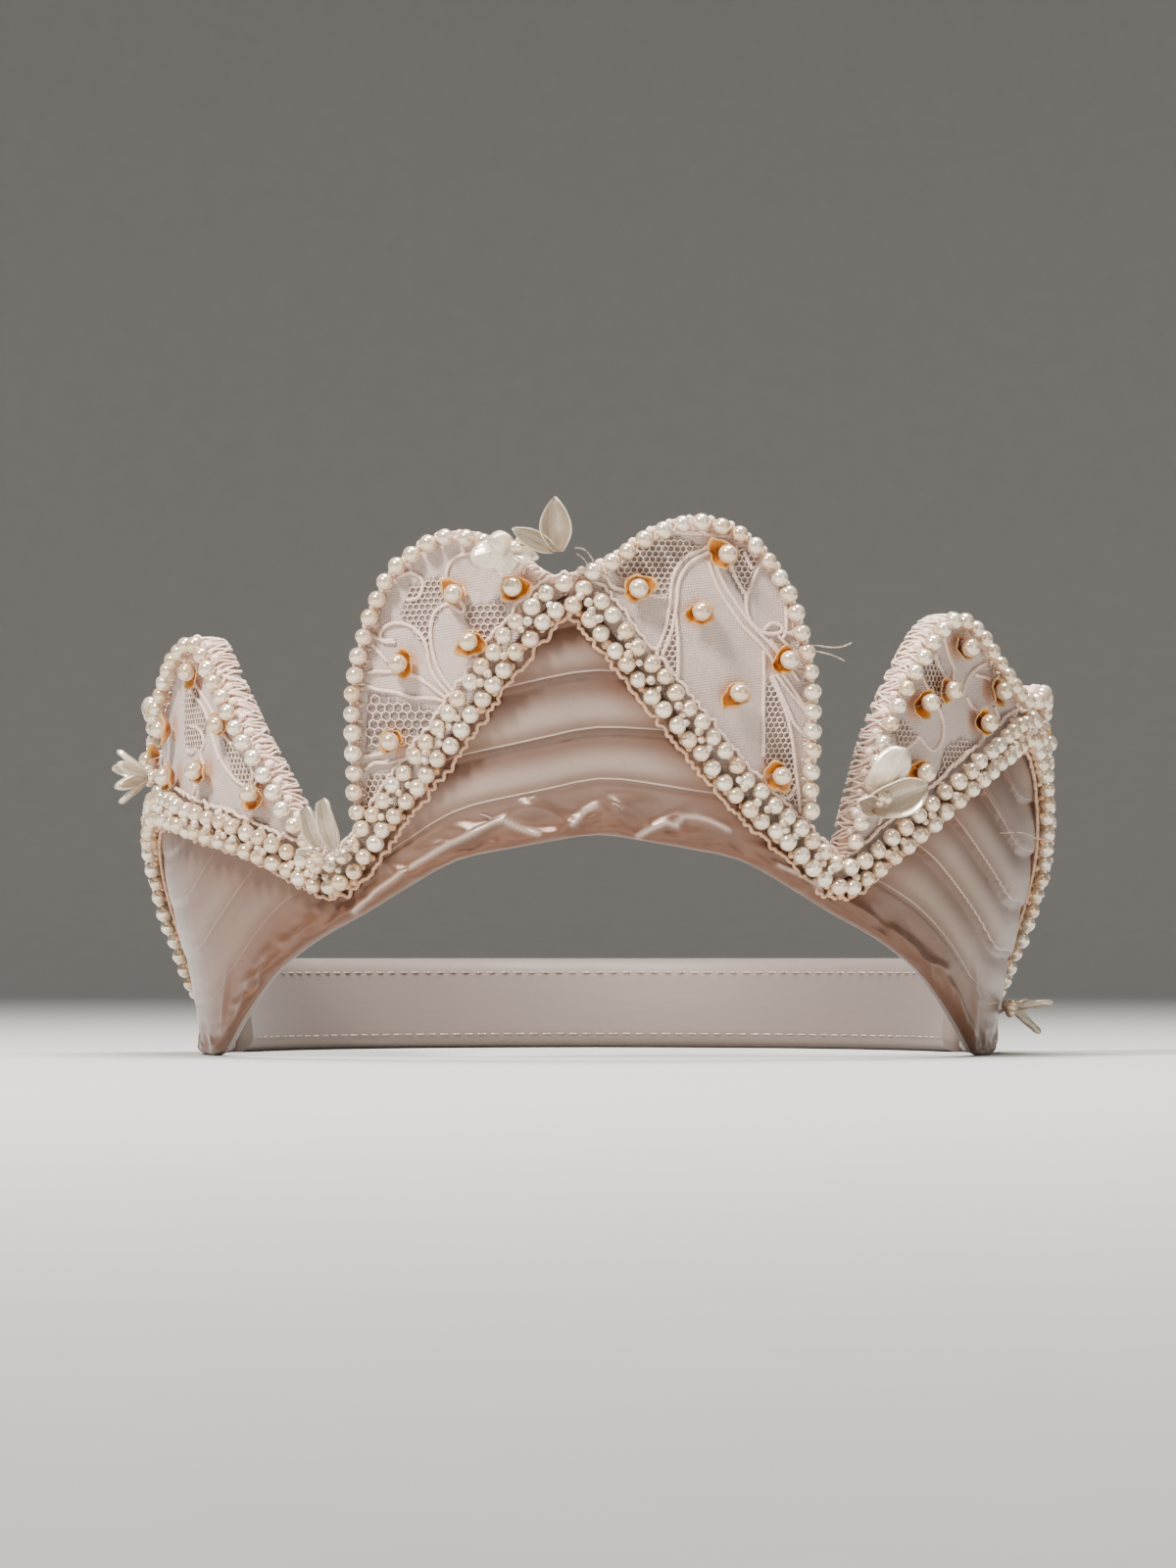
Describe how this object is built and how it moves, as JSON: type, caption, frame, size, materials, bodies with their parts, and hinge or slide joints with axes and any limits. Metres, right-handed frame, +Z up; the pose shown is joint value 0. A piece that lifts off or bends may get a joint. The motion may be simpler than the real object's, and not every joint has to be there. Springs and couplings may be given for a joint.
{
  "type": "veil crown",
  "caption": "Stiff bridal crown of pleated satin with lace points, faux pearl rows and wax flowers, open for the head, closed behind by a plain band.",
  "frame": {"origin": "middle of the crown's own box, on the surface that it stands on", "axes": "+Z up, the front of the crown faces -Y, +X is the wearer's left"},
  "size_m": [0.1622, 0.1616, 0.0897],
  "materials": {
    "satin": "aged blush satin with a soft sheen, pleated",
    "lace": "ivory lace with raised cords over net and cloth",
    "pearl": "faux pearl, creamy and glossy",
    "amber": "aged amber cup sequin under a small pearl",
    "wax": "pearlised wax, smooth and slightly yellowed"
  },
  "bodies": {
    "root": {"satin_band_front": "satin", "satin_band_back": "satin", "lace_lobe_0": "lace", "lace_lobe_1": "lace", "lace_lobe_2": "lace", "lace_lobe_3": "lace", "lace_lobe_4": "lace", "lace_lobe_5": "lace", "pearl_rope_upper": "pearl", "pearl_rope_lower": "pearl", "pearl_edge_0": "pearl", "pearl_edge_1": "pearl", "pearl_edge_2": "pearl", "pearl_edge_3": "pearl", "pearl_edge_4": "pearl", "pearl_edge_5": "pearl", "sewn_pearl_01": "amber", "sewn_pearl_02": "amber", "sewn_pearl_03": "amber", "sewn_pearl_04": "amber", "sewn_pearl_05": "amber", "sewn_pearl_06": "amber", "sewn_pearl_07": "amber", "sewn_pearl_08": "amber", "sewn_pearl_09": "amber", "sewn_pearl_10": "amber", "sewn_pearl_11": "amber", "sewn_pearl_12": "amber", "sewn_pearl_13": "amber", "sewn_pearl_14": "amber", "sewn_pearl_15": "amber", "sewn_pearl_16": "amber", "sewn_pearl_17": "amber", "sewn_pearl_18": "amber", "sewn_pearl_19": "amber", "sewn_pearl_20": "amber", "sewn_pearl_21": "amber", "sewn_pearl_22": "amber", "sewn_pearl_23": "amber", "sewn_pearl_24": "amber", "sewn_pearl_25": "amber", "wax_flower_left_peak": "wax", "wax_flower_top": "wax", "wax_flower_left_valley": "wax", "wax_leaf_right_valley": "wax", "wax_flower_right_end": "wax"}
  },
  "joints": []
}
